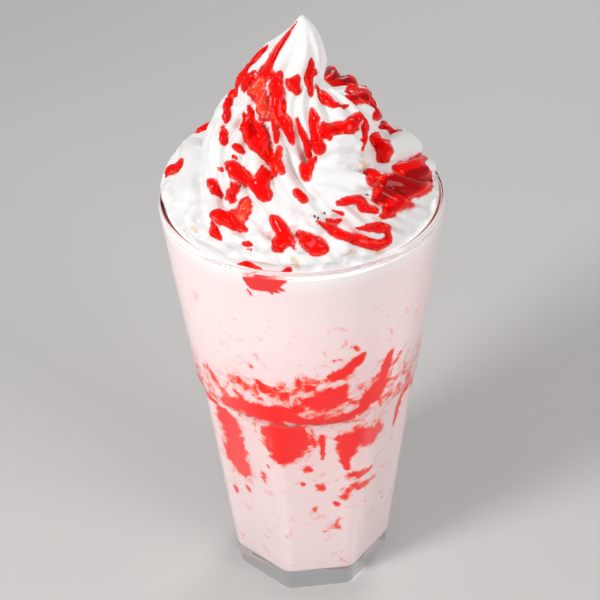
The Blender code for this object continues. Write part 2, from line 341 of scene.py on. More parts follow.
# Streaks of strawberry on the near side of the wall: strength, then marks in the wall view as
# across, down and width
STREAKS = (
    (0.85, (55, 170, 40), (85, 245, 70), (120, 305, 60), (165, 350, 30)),
    (0.9, (158, 178, 28), (172, 212, 38)),
    (0.5, (172, 220, 30), (210, 270, 60), (250, 310, 60)),
    (1.2, (240, 345, 56), (320, 368, 80), (400, 400, 90), (470, 428, 92), (540, 430, 92), (600, 412, 64),
        (660, 400, 44)),
    (0.85, (425, 236, 34), (440, 246, 34)),
    (0.75, (400, 320, 30), (440, 335, 30)),
    (0.45, (280, 205, 90), (400, 260, 110), (520, 300, 110), (650, 310, 110)),
    (0.8, (705, 262, 34), (725, 275, 40)),
    (1.25, (715, 352, 56), (790, 348, 104), (860, 330, 112), (905, 280, 56)),
    (0.55, (660, 240, 60), (760, 230, 60), (860, 215, 60)),
    (1.15, (838, 202, 36), (900, 190, 54), (960, 142, 46), (1008, 92, 46), (1035, 64, 26)),
    (0.8, (872, 108, 24), (892, 98, 24)),
    (1.0, (1185, 66, 36), (1160, 130, 54), (1148, 196, 62), (1120, 250, 70)),
    (1.25, (1090, 300, 100), (1058, 345, 70)),
    (0.85, (1040, 380, 56), (950, 436, 56), (870, 462, 56), (780, 472, 56), (700, 470, 56),
        (620, 452, 70)),
    (0.85, (1345, 140, 50), (1300, 200, 56), (1272, 268, 46), (1240, 340, 34), (1216, 420, 28),
        (1200, 490, 18)),
    (0.7, (1272, 10, 22), (1232, 70, 20), (1204, 130, 20), (1182, 190, 20)),
    (0.7, (970, 20, 24), (1010, 50, 20)),
    (1.2, (228, 420, 64), (258, 480, 100), (280, 540, 100), (300, 600, 92), (298, 680, 112),
        (330, 740, 104), (342, 776, 50)),
    (0.6, (160, 520, 24), (176, 590, 26), (188, 655, 20)),
    (1.3, (478, 545, 52), (560, 530, 112), (602, 580, 160), (592, 640, 140), (580, 694, 80)),
    (1.0, (636, 500, 60), (660, 530, 60)),
    (0.9, (790, 560, 36), (796, 620, 22), (795, 692, 18)),
    (0.75, (738, 582, 40), (748, 618, 30)),
    (1.2, (928, 575, 62), (1000, 562, 104), (1070, 552, 104), (1112, 510, 44)),
    (1.15, (962, 610, 84), (940, 650, 64), (932, 720, 34), (944, 756, 22)),
    (0.95, (962, 795, 44), (990, 790, 40), (1050, 762, 36)),
    (0.7, (1084, 800, 30), (1040, 840, 34), (980, 862, 46), (930, 920, 38)),
    (0.9, (868, 956, 22), (884, 968, 22)),
    (0.8, (708, 752, 36), (722, 762, 30)),
    (0.8, (770, 852, 30), (788, 870, 36)),
    (0.8, (672, 842, 18), (680, 846, 18)),
    (0.6, (768, 970, 16), (740, 1010, 26), (720, 1030, 16)),
    (0.8, (366, 864, 22), (374, 874, 20)),
    (0.75, (290, 864, 24), (304, 896, 24)),
    (0.45, (466, 790, 40), (470, 830, 44)),
    (0.8, (488, 738, 14), (492, 744, 14)),
    (0.4, (905, 1065, 40), (880, 1110, 30), (800, 1128, 20)),
    (0.35, (590, 1156, 30), (655, 1156, 24)),
    (0.4, (375, 120, 20), (385, 140, 20)),
    (0.4, (1120, 900, 30), (1130, 930, 24)),
)
# Long streaks on the far side, guessed: strength, then azimuth in degrees, height and half-width
# in millimetres
FAR_STREAKS = (
    (1.0, (350, 99, 1.6), (20, 94, 2.2), (55, 92, 2.4), (85, 97, 1.6)),
    (1.0, (82, 103, 1.4), (110, 98, 2.2), (145, 94, 2.4), (182, 100, 1.6)),
)
# Streaks drawn at random over the far side, in degrees and millimetres. A pair is a value and how
# far a draw, or the turn round the back, goes on from it.
STREAK_SEED = 7
BACK_STREAKS = 26
GOLDEN_SHARE = 0.618
BACK_AZIMUTH = (4.0, 172.0)
BACK_HEIGHT = (92.0, 14.0)
BACK_SLANT = 16.0
BACK_DROP = (10.0, 8.0)
BACK_HALF_WIDTH = (2.0, 1.0)
BACK_STRENGTH = 1.05
# How a streak fades off to its sides, and the faint haze of strawberry at the streaks' height
STREAK_STEP = 0.0012
STREAK_GAIN = 1.2
STREAK_FADE = 2.9
STREAK_SOFTNESS = 1.4
HAZE = 0.36
HAZE_HEIGHT = 0.096
HAZE_REACH = 0.019


def sight_line(view, across, down):
    """Direction from the camera through a mark of an enlarged part of the photograph."""
    left, top, enlarged = view
    focal = PHOTO_SIZE * LENS / SENSOR
    x = (left + across / enlarged - PHOTO_SIZE / 2.0) / focal
    y = (top + down / enlarged - PHOTO_SIZE / 2.0) / focal
    return (scene.camera.matrix_world.to_3x3() @ Vector((x, -y, -1.0))).normalized()


def mark_size(view, place, size):
    """A mark's size at a place on the object, in metres."""
    depth = -(scene.camera.matrix_world.inverted() @ place).z
    return size / view[2] * depth / (PHOTO_SIZE * LENS / SENSOR)


def wall_mark(view, across, down, width):
    """The place on the glass's inner wall behind a mark, or nearest to it, and the mark's width."""
    line = sight_line(view, across, down)
    nearest = None
    for k in range(round((SIGHT_END - SIGHT_START) / SIGHT_STEP)):
        place = scene.camera.matrix_world.translation + line * (SIGHT_START + k * SIGHT_STEP)
        height = min(place.z, GLASS_HEIGHT)
        gap = math.hypot(place.x, place.y) - wall_radius(math.atan2(place.y, place.x), height, WALL)
        if nearest is None or gap < nearest[0]:
            nearest = (gap, place)
        if gap < 0.0:
            break
    return nearest[1], mark_size(view, nearest[1], width)


def wall_point(azimuth, height):
    angle = math.radians(azimuth)
    return polar(wall_radius(angle, height / 1000.0, WALL), angle, height / 1000.0)


def drawn(pair, draw):
    return pair[0] + pair[1] * draw


def drawn_streaks():
    """Streaks like the photograph's round the side away from the camera, drawn at random."""
    noise.seed_set(STREAK_SEED)
    streaks = list(FAR_STREAKS)
    for k in range(BACK_STREAKS):
        draw = noise.random_unit_vector(size=4)
        azimuth = drawn(BACK_AZIMUTH, GOLDEN_SHARE * k % 1.0)
        height = drawn(BACK_HEIGHT, draw[0])
        slant = BACK_SLANT * draw[1]
        drop = drawn(BACK_DROP, draw[2])
        half = drawn(BACK_HALF_WIDTH, draw[3])
        streaks.append((BACK_STRENGTH, (azimuth, height, half),
                        (azimuth + slant, height - drop, half * 1.3),
                        (azimuth + slant * 1.2, height - 1.5 * drop, half * 0.6)))
    return streaks


def streak_lines():
    """Every streak as its strength and its points, each with the half-width there."""
    lines = []
    for strength, *marks in STREAKS:
        spots = [wall_mark(WALL_VIEW, *mark) for mark in marks]
        lines.append((strength, [(place, width / 2.0) for place, width in spots]))
    for strength, *points in drawn_streaks():
        lines.append((strength, [(wall_point(azimuth, height), half / 1000.0)
                                 for azimuth, height, half in points]))
    return lines


def vertex_tree(mesh):
    tree = KDTree(len(mesh.vertices))
    for vertex in mesh.vertices:
        tree.insert(vertex.co, vertex.index)
    tree.balance()
    return tree


def line_samples(places, step):
    """Points along a broken line, each with its share of the line's length."""
    total = sum((end - start).length for start, end in zip(places, places[1:]))
    done = 0.0
    samples = []
    for start, end in zip(places, places[1:]):
        length = (end - start).length
        count = max(1, math.ceil(length / step))
        for k in range(count + 1):
            samples.append((start.lerp(end, k / count), (done + length * k / count) / max(total, 1e-6)))
        done += length
    return samples


def sized_samples(points, step):
    """Places along a line whose points each have a size, with the size there."""
    for (start, start_size), (end, end_size) in zip(points, points[1:]):
        for place, share in line_samples([start, end], step):
            yield place, start_size + (end_size - start_size) * share


def keep_values(mesh, name, values):
    store = mesh.attributes.new(name, "FLOAT", "POINT")
    store.data.foreach_set("value", values)


def strawberry_amount(mesh):
    """How much strawberry lies near each point of the wall, kept as an attribute."""
    amounts = [HAZE * smooth(1.0 - abs(v.co.z - HAZE_HEIGHT) / HAZE_REACH) for v in mesh.vertices]
    tree = vertex_tree(mesh)
    for strength, points in wall_streaks:
        for place, half in sized_samples(points, STREAK_STEP):
            reach = STREAK_FADE * half
            for _, index, distance in tree.find_range(place, reach):
                near = STREAK_GAIN * strength * (1.0 - distance / reach) ** STREAK_SOFTNESS
                amounts[index] = max(amounts[index], near)
    keep_values(mesh, "strawberry", amounts)


def blotches_effect():
    """An amount raised and lowered by a noise about its middle, which the food's colours share."""
    group, given, result = new_effect("blotches", "Value", "NodeSocketFloat", Amount=0.5, Swing=1.0,
                                      Scale=500.0, Detail=2.0, Roughness=0.5, Distortion=0.0)
    centred = group.nodes.new("ShaderNodeMath")
    centred.operation = "SUBTRACT"
    centred.inputs[1].default_value = 0.5
    swung = group.nodes.new("ShaderNodeMath")
    swung.operation = "MULTIPLY_ADD"
    grain = add_noise(group, given, "Scale", "Detail", "Roughness", "Distortion")
    group.links.new(grain, centred.inputs[0])
    group.links.new(centred.outputs["Value"], swung.inputs[0])
    group.links.new(given["Swing"], swung.inputs[1])
    group.links.new(given["Amount"], swung.inputs[2])
    group.links.new(swung.outputs["Value"], result["Value"])
    return group


def add_blotches(tree, attribute, **values):
    """The value of a piece's attribute, with blotches."""
    amount = tree.nodes.new("ShaderNodeAttribute")
    amount.attribute_name = attribute
    effect = place_effect(tree, blotches, **values)
    tree.links.new(amount.outputs["Fac"], effect.inputs["Amount"])
    return effect.outputs["Value"]


def add_ramp(tree, source, *stops):
    """Colours for a value, from stops of position and colour that go up."""
    tint = tree.nodes.new("ShaderNodeValToRGB")
    elements = tint.color_ramp.elements
    for position, _ in stops[1:-1]:
        elements.new(position)
    for element, (position, colour) in zip(elements, stops):
        element.position = position
        element.color = (*colour, 1.0)
    tree.links.new(source, tint.inputs["Fac"])
    return tint


def marbled_shake():
    """Pale pink shake, mottled, with red strawberry showing where the attribute says."""
    made, tree, shader = new_material("marbled_shake")
    mixed = add_blotches(tree, "strawberry",
                         Scale=260.0, Detail=6.0, Roughness=0.60, Distortion=0.6, Swing=1.9)
    tint = add_ramp(tree, mixed,
                    (0.14, (0.94, 0.78, 0.78)), (0.34, (0.93, 0.56, 0.54)),
                    (0.47, (0.95, 0.17, 0.11)), (0.62, (1.0, 0.002, 0.001)))
    tree.links.new(tint.outputs["Color"], shader.inputs["Base Color"])
    add_bumps(tree, shader, Scale=900.0, Detail=3.0, Strength=0.15, Distance=0.0004)
    shader.inputs["Roughness"].default_value = 0.45
    shader.inputs["Specular IOR Level"].default_value = 0.1
    shader.inputs["Subsurface Weight"].default_value = 0.12
    shader.inputs["Subsurface Radius"].default_value = (1.0, 0.6, 0.5)
    shader.inputs["Subsurface Scale"].default_value = 0.002
    return made


def layer_face(level, phase, share, angle):
    """Height of a wavy face between two layers, flat at the middle, or all flat with no phase."""
    if phase is None:
        return level
    wave = (math.sin(2.0 * angle + phase) + math.sin(3.0 * angle + 2.3 * phase)) / 2.0
    return level + LAYER_WAVE * share * share * wave


def face_rings(level, phase, inset):
    """Rings of one wavy face of a layer, from the middle out to the wall."""
    rings = []
    for share in FACE_SHARES:
        ring = []
        for angle in ring_angles(SHAKE_POINTS):
            z = layer_face(level, phase, share, angle)
            ring.append(polar(share * wall_radius(angle, z, inset), angle, z))
        rings.append(ring)
    return rings


def side_rings(bottom, bottom_phase, top, top_phase, inset):
    """Rings up the wall between two wavy faces."""
    count = math.ceil((top - bottom) / RING_STEP)
    rings = []
    for k in range(1, count):
        ring = []
        for angle in ring_angles(SHAKE_POINTS):
            low = layer_face(bottom, bottom_phase, 1.0, angle)
            high = layer_face(top, top_phase, 1.0, angle)
            z = low + (high - low) * k / count
            ring.append(polar(wall_radius(angle, z, inset), angle, z))
        rings.append(ring)
    return rings


def make_shake(name, node, finish, bottom, bottom_phase, top, top_phase):
    inset = WALL - WETTING
    if bottom_phase is None:
        rings = [wall_ring(bottom, inset + FOOT_BEVEL, count=SHAKE_POINTS),
                 wall_ring(bottom + FOOT_BEVEL, inset, count=SHAKE_POINTS)]
        rings += side_rings(bottom + FOOT_BEVEL, None, top, top_phase, inset)
    else:
        rings = face_rings(bottom, bottom_phase, inset)
        rings += side_rings(bottom, bottom_phase, top, top_phase, inset)
    rings += reversed(face_rings(top, top_phase, inset))
    shake = drawn_object(name, rings)
    shake.data.set_sharp_from_angle(angle=SHARP_EDGE)
    strawberry_amount(shake.data)
    shake.data.materials.append(finish)
    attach(shake, "root")
    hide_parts(node)


blotches = blotches_effect()
wall_streaks = streak_lines()
shake_finish = marbled_shake()
make_shake("shake_lower", "frappe_lower", shake_finish, FLOOR - WETTING, None, LOWER_TOP, LOWER_PHASE)
make_shake("shake_strawberry", "strawberry_layer", shake_finish,
           LOWER_TOP, LOWER_PHASE, STRAWBERRY_TOP, STRAWBERRY_PHASE)
make_shake("shake_upper", "frappe_upper", shake_finish,
           STRAWBERRY_TOP, STRAWBERRY_PHASE, CREAM_FLOOR, CREAM_PHASE)


# The whipped cream: one ribbed rope piped through a star nozzle, laid clockwise, seen from
# above, in a wide turn at the rim, a narrower one on top and a peak drawn up and let go. Its
# turns have sunk into one heap, which fills the glass from the drink up.
RIBS = 9
RIB_DEPTH = 0.27
RIB_TWIST = 2.0
# How unevenly the ribs lie round the rope and how far they and the rope swell and shrink
RIB_SWAY = (0.10, 0.05)
RIB_UNEVEN = 0.35
ROPE_SWELL = 0.035
VALLEY_SHARPNESS = 0.8
COIL_START = math.radians(340.0)
ROPE_STEPS = 300
ROPE_POINTS = 126
CREAM_VOXEL = 0.0006
# Stages of the coil: turns laid so far, then in millimetres the distance from the axis, the
# height over the rim, the rope's radius and how far the coil's middle has drifted along X
STAGES = (
    (0.00, 30.0, -8.0, 10.5, 0.0),
    (0.25, 30.8, 0.0, 12.6, 0.0),
    (0.75, 30.3, 0.5, 12.8, 0.0),
    (1.00, 29.5, 3.0, 13.0, 0.0),
    (1.25, 21.5, 13.5, 13.0, 0.0),
    (1.50, 14.0, 21.5, 12.3, 0.0),
    (2.00, 12.0, 24.0, 13.0, -0.5),
    (2.25, 7.0, 31.0, 12.8, -1.0),
    (2.50, 2.5, 38.0, 11.8, -1.8),
    (2.70, 0.8, 46.0, 8.8, 0.0),
    (2.85, 0.3, 53.3, 4.8, 1.3),
    (2.95, 0.0, 58.4, 0.7, 1.3),
)
TWIST_END = 2.50
# The heap's steps: distance from the axis and height over the rim, in millimetres
HEAP = ((40.5, -12.0), (40.5, -2.0), (38.0, 5.0), (28.0, 14.0), (16.0, 26.0), (8.0, 37.0), (2.5, 45.0))
HEAP_POINTS = 64
PLUG_TOP = GLASS_HEIGHT - 0.003
RIM_CLEARANCE = 0.0008
OVERHANG_SLOPE = 0.6
# Petals where the rope folded over: radius and how far they stand out in millimetres, then
# points as azimuth in degrees, distance from the axis and height over the rim in millimetres
PETALS = (
    (2.8, 2.8, (283, 24, 28), (293, 24, 29), (306, 24, 28), (310, 25, 26)),
    (2.7, 2.9, (281, 24, 24), (292, 25, 25), (304, 25, 23), (309, 26, 21)),
    (2.7, 2.9, (281, 27, 22), (290, 28, 21), (298, 30, 20), (304, 32, 19)),
    (2.6, 2.8, (281, 30, 19), (288, 31, 18), (295, 33, 16)),
    (4.6, 1.5, (187, 26, 25), (193, 28, 21), (206, 30, 18), (216, 33, 14)),
    (5.0, 1.6, (168, 36, 13), (180, 35, 14), (194, 36, 11), (203, 38, 8), (209, 40, 4)),
    (3.6, 1.2, (184, 40, 10), (192, 40, 9)),
    (4.8, 1.0, (346, 29, 18), (358, 32, 16), (10, 35, 14), (19, 38, 10)),
)
PETAL_STEP = 0.0006
PETAL_OUT = 0.75
PETAL_UP = 0.65
# A petal's radius as a share: at its root, how much it swells in the middle and slims to its tip
PETAL_SHARES = (0.85, 0.35, 0.15)
SOFTENING = 0.5
# Noise scale and size of the fine dents and of the torn lumps, and where the lumps fade out, as
# a height and as azimuths in degrees, each with the length of the fade
ROUGH_FROM = GLASS_HEIGHT - 0.004
DENTS = (420.0, 0.00012)
LUMPS = ((170.0, 0.0030), (380.0, 0.0008))
LUMPS_TOP = (GLASS_HEIGHT + 0.015, 0.008)
LUMPS_LEFT = (180.0, 15.0)
LUMPS_RIGHT = (300.0, 20.0)
CREASE_EDGE = math.radians(60.0)


def stage_value(turns, column):
    """A value between the stages, on a smooth curve through them."""
    times = [stage[0] for stage in STAGES]
    values = [stage[column] for stage in STAGES]
    i = 0
    while i < len(times) - 2 and turns > times[i + 1]:
        i += 1
    span = times[i + 1] - times[i]
    first, last = max(i - 1, 0), min(i + 2, len(times) - 1)
    start_slope = (values[i + 1] - values[first]) / (times[i + 1] - times[first]) * span
    end_slope = (values[last] - values[i]) / (times[last] - times[i]) * span
    t = (turns - times[i]) / span
    return ((2.0 * t**3 - 3.0 * t**2 + 1.0) * values[i] + (t**3 - 2.0 * t**2 + t) * start_slope
            + (3.0 * t**2 - 2.0 * t**3) * values[i + 1] + (t**3 - t**2) * end_slope)


def over_rim(reach, azimuth, height):
    """A point from its distance to the axis and height over the rim in mm, and its azimuth."""
    return polar(reach, math.radians(azimuth), height) / 1000.0 + Vector((0.0, 0.0, GLASS_HEIGHT))


def rope_centre(turns):
    azimuth = math.degrees(COIL_START - 2.0 * math.pi * turns)
    place = over_rim(stage_value(turns, 1), azimuth, stage_value(turns, 2))
    return place + Vector((stage_value(turns, 4) / 1000.0, 0.0, 0.0))


def rib_profile(angle, turns):
    """The star nozzle's outline: round crests with sharp valleys, softer and bolder in places."""
    uneven = angle + RIB_SWAY[0] * math.sin(2.0 * angle + 5.0 * turns)
    uneven += RIB_SWAY[1] * math.sin(angle - 9.0 * turns)
    depth = RIB_DEPTH * (1.0 + RIB_UNEVEN * math.sin(angle + 7.0 * turns) * math.sin(4.0 * turns))
    swell = 1.0 + ROPE_SWELL * math.sin(19.0 * turns + math.sin(angle))
    return swell - depth * (1.0 - abs(math.cos(RIBS * uneven / 2.0)) ** VALLEY_SHARPNESS)


def rope_rings():
    end = STAGES[-1][0]
    centres = [rope_centre(end * k / ROPE_STEPS) for k in range(ROPE_STEPS + 1)]
    side = Vector((0.0, 0.0, 1.0))
    before = None
    rings = []
    for k, centre in enumerate(centres):
        along = (centres[min(k + 1, ROPE_STEPS)] - centres[max(k - 1, 0)]).normalized()
        if before is not None:
            side.rotate(before.rotation_difference(along))
        side = (side - along * side.dot(along)).normalized()
        across = along.cross(side)
        before = along
        turns = end * k / ROPE_STEPS
        twist = 2.0 * math.pi * RIB_TWIST * min(turns, TWIST_END)
        radius = stage_value(turns, 3) / 1000.0
        ring = []
        for i in range(ROPE_POINTS):
            angle = 2.0 * math.pi * i / ROPE_POINTS
            turned = angle + twist
            out = side * math.cos(turned) + across * math.sin(turned)
            ring.append(centre + out * radius * rib_profile(angle, turns))
        rings.append(ring)
    return rings


def heap_rings():
    return [[over_rim(radius, 360.0 * i / HEAP_POINTS, height) for i in range(HEAP_POINTS)]
            for radius, height in HEAP]


def apply_modifiers(item):
    """Replace the object's mesh by what its modifiers make of it."""
    depsgraph = bpy.context.evaluated_depsgraph_get()
    shaped = bpy.data.meshes.new_from_object(item.evaluated_get(depsgraph))
    item.modifiers.clear()
    item.data = shaped


def largest_body(mesh):
    """Drop every loose body of a mesh but the largest."""
    bm = bmesh.new()
    bm.from_mesh(mesh)
    left = set(bm.verts)
    bodies = []
    while left:
        stack = [left.pop()]
        body = set(stack)
        while stack:
            for edge in stack.pop().link_edges:
                for vertex in edge.verts:
                    if vertex not in body:
                        body.add(vertex)
                        stack.append(vertex)
        left -= body
        bodies.append(body)
    bodies.sort(key=len)
    scraps = [vertex for body in bodies[:-1] for vertex in body]
    bmesh.ops.delete(bm, geom=scraps, context="VERTS")
    bm.to_mesh(mesh)
    bm.free()


def fuse(item):
    """Melt the overlapping shapes of one object into a single soft skin."""
    melt = item.modifiers.new("melt", "REMESH")
    melt.mode = "VOXEL"
    melt.voxel_size = CREAM_VOXEL
    soften = item.modifiers.new("soften", "SMOOTH")
    soften.factor = SOFTENING
    soften.iterations = 1
    apply_modifiers(item)
    largest_body(item.data)


def add_petals(item):
    """Lay round beads along each petal's line, slimmer towards the tip."""
    root, swell, slim = PETAL_SHARES
    bm = bmesh.new()
    bm.from_mesh(item.data)
    for size, rise, *points in PETALS:
        places = [over_rim(reach, azimuth, height) for azimuth, reach, height in points]
        for place, share in line_samples(places, PETAL_STEP):
            radius = size / 1000.0 * (root + swell * math.sin(math.pi * share) - slim * share)
            flat = Vector((place.x, place.y, 0.0)).normalized()
            outward = flat * PETAL_OUT + Vector((0.0, 0.0, PETAL_UP))
            bead = Matrix.Translation(place - outward * (radius - rise / 1000.0))
            bmesh.ops.create_icosphere(bm, subdivisions=3, radius=radius, matrix=bead)
    bm.to_mesh(item.data)
    bm.free()
    fuse(item)


def noise_height(place, scale, size):
    return noise.noise(place * scale) * size


def roughen(mesh):
    """Small dents and crumbs of the whip, with torn lumps low at the left and the front."""
    moved = []
    for vertex in mesh.vertices:
        place = vertex.co.copy()
        if place.z > ROUGH_FROM:
            azimuth = math.degrees(math.atan2(place.y, place.x)) % 360.0
            torn = smooth((LUMPS_TOP[0] - place.z) / LUMPS_TOP[1])
            torn *= smooth((azimuth - LUMPS_LEFT[0]) / LUMPS_LEFT[1])
            torn *= smooth((LUMPS_RIGHT[0] - azimuth) / LUMPS_RIGHT[1])
            lumps = sum(noise_height(place, *lump) for lump in LUMPS)
            place += vertex.normal * (noise_height(place, *DENTS) + torn * lumps)
        moved.append(place)
    mesh.vertices.foreach_set("co", [value for place in moved for value in place])


def keep_inside_rim(mesh):
    """Press the cream in where it would touch the glass, and let it lean out over the lip."""
    lip_top = GLASS_HEIGHT + RIM_CLEARANCE
    for vertex in mesh.vertices:
        place = vertex.co
        angle = math.atan2(place.y, place.x)
        limit = wall_radius(angle, min(place.z, GLASS_HEIGHT), WALL + RIM_CLEARANCE)
        limit += max(place.z - lip_top, 0.0) * OVERHANG_SLOPE
        reach = math.hypot(place.x, place.y)
        if reach > limit:
            place.x *= limit / reach
            place.y *= limit / reach


def add_plug(item):
    """Join on the cream inside the glass, down to the drink."""
    inset = WALL - WETTING
    rings = face_rings(CREAM_FLOOR, CREAM_PHASE, inset)
    rings += side_rings(CREAM_FLOOR, CREAM_PHASE, PLUG_TOP, None, inset)
    rings.append(wall_ring(PLUG_TOP, inset, count=SHAKE_POINTS))
    plug = drawn_object("cream_plug", rings)
    join = item.modifiers.new("join", "BOOLEAN")
    join.operation = "UNION"
    join.solver = "MANIFOLD"
    join.object = plug
    apply_modifiers(item)
    bpy.data.objects.remove(plug)
    largest_body(item.data)


def shape_cream():
    cream = drawn_object("cream", rope_rings(), heap_rings())
    fuse(cream)
    add_petals(cream)
    roughen(cream.data)
    keep_inside_rim(cream.data)
    add_plug(cream)
    cream.data.shade_smooth()
    cream.data.set_sharp_from_angle(angle=CREASE_EDGE)
    return cream


cream = shape_cream()


# The strawberry sauce: thick and glossy, drizzled over the cream in strands that run down
# between the ribs and pool in the folds. It stands on the cream, and its thin edges bleed in.
SAUCE_SEED = 3
SAUCE_STEP = 0.0004
SAUCE_RISE = 0.0008
SAUCE_BORDER = -0.6
SAUCE_SPREAD = 1.1
# A strand's rise as a share of its width, the most that its body adds, how deep its thin edge
# sinks in, how far under the rim it may reach, and the thickness of its skin
RISE_SHARE = 0.27
RISE_LIMIT = 1.2
EDGE_SINK = 0.0006
SAUCE_BOTTOM = GLASS_HEIGHT - 0.0025
SAUCE_SKIN = 0.0009
SAUCE_SOFTENING = 0.5
# How a strand covers the cream: the cover of bare cream, how far out it reaches, the wobble of
# its edges as noise scale and size, and the speckles that break up a thin body
BARE = -2.0
COVER_REACH = 1.9
EDGE_WOBBLE = ((320.0, 0.13), (900.0, 0.05))
SPECKLE_SCALE = 650.0
SPECKLE_BODY = 0.8
SPECKLE_GAIN = 3.0
# How stain, caramel stains and the painted orange glint fade out on the cream: the cover where they
# start, and how far they rise
STAIN_FADE = (-2.0, 1.9)
CARAMEL_AND_GLINT_FADE = (-1.4, 1.8)
CARAMEL_AND_GLINT_STRENGTH = 0.8
# Strands on the far side, in degrees and millimetres, with pairs as for the drawn streaks. They
# start at three distances from the axis and run out and round by steps.
BACK_STRANDS = 20
STRAND_AZIMUTH = (26.0, 110.0)
STRAND_TIERS = (8.0, 18.0, 29.0)
TIER_SPREAD = 3.0
STRAND_TURN = 7.0
STRAND_RUN = (2.4, 1.2)
STRAND_WIDTH = (3.4, 1.2)
STRAND_SWELL = (0.45, 0.9, 1.0, 1.2)
ABOVE_CREAM = 0.25
# The second enlarged part of the photograph, and its middle. A mark that misses the cream is
# moved towards the middle by small shares, less so down than across.
CREAM_VIEW = (150, 0, 5.227)
CREAM_VIEW_MIDDLE = (784.0, 800.0)
MISS_STEPS = 30
MISS_SHARE = 0.01
MISS_DOWN = 0.2
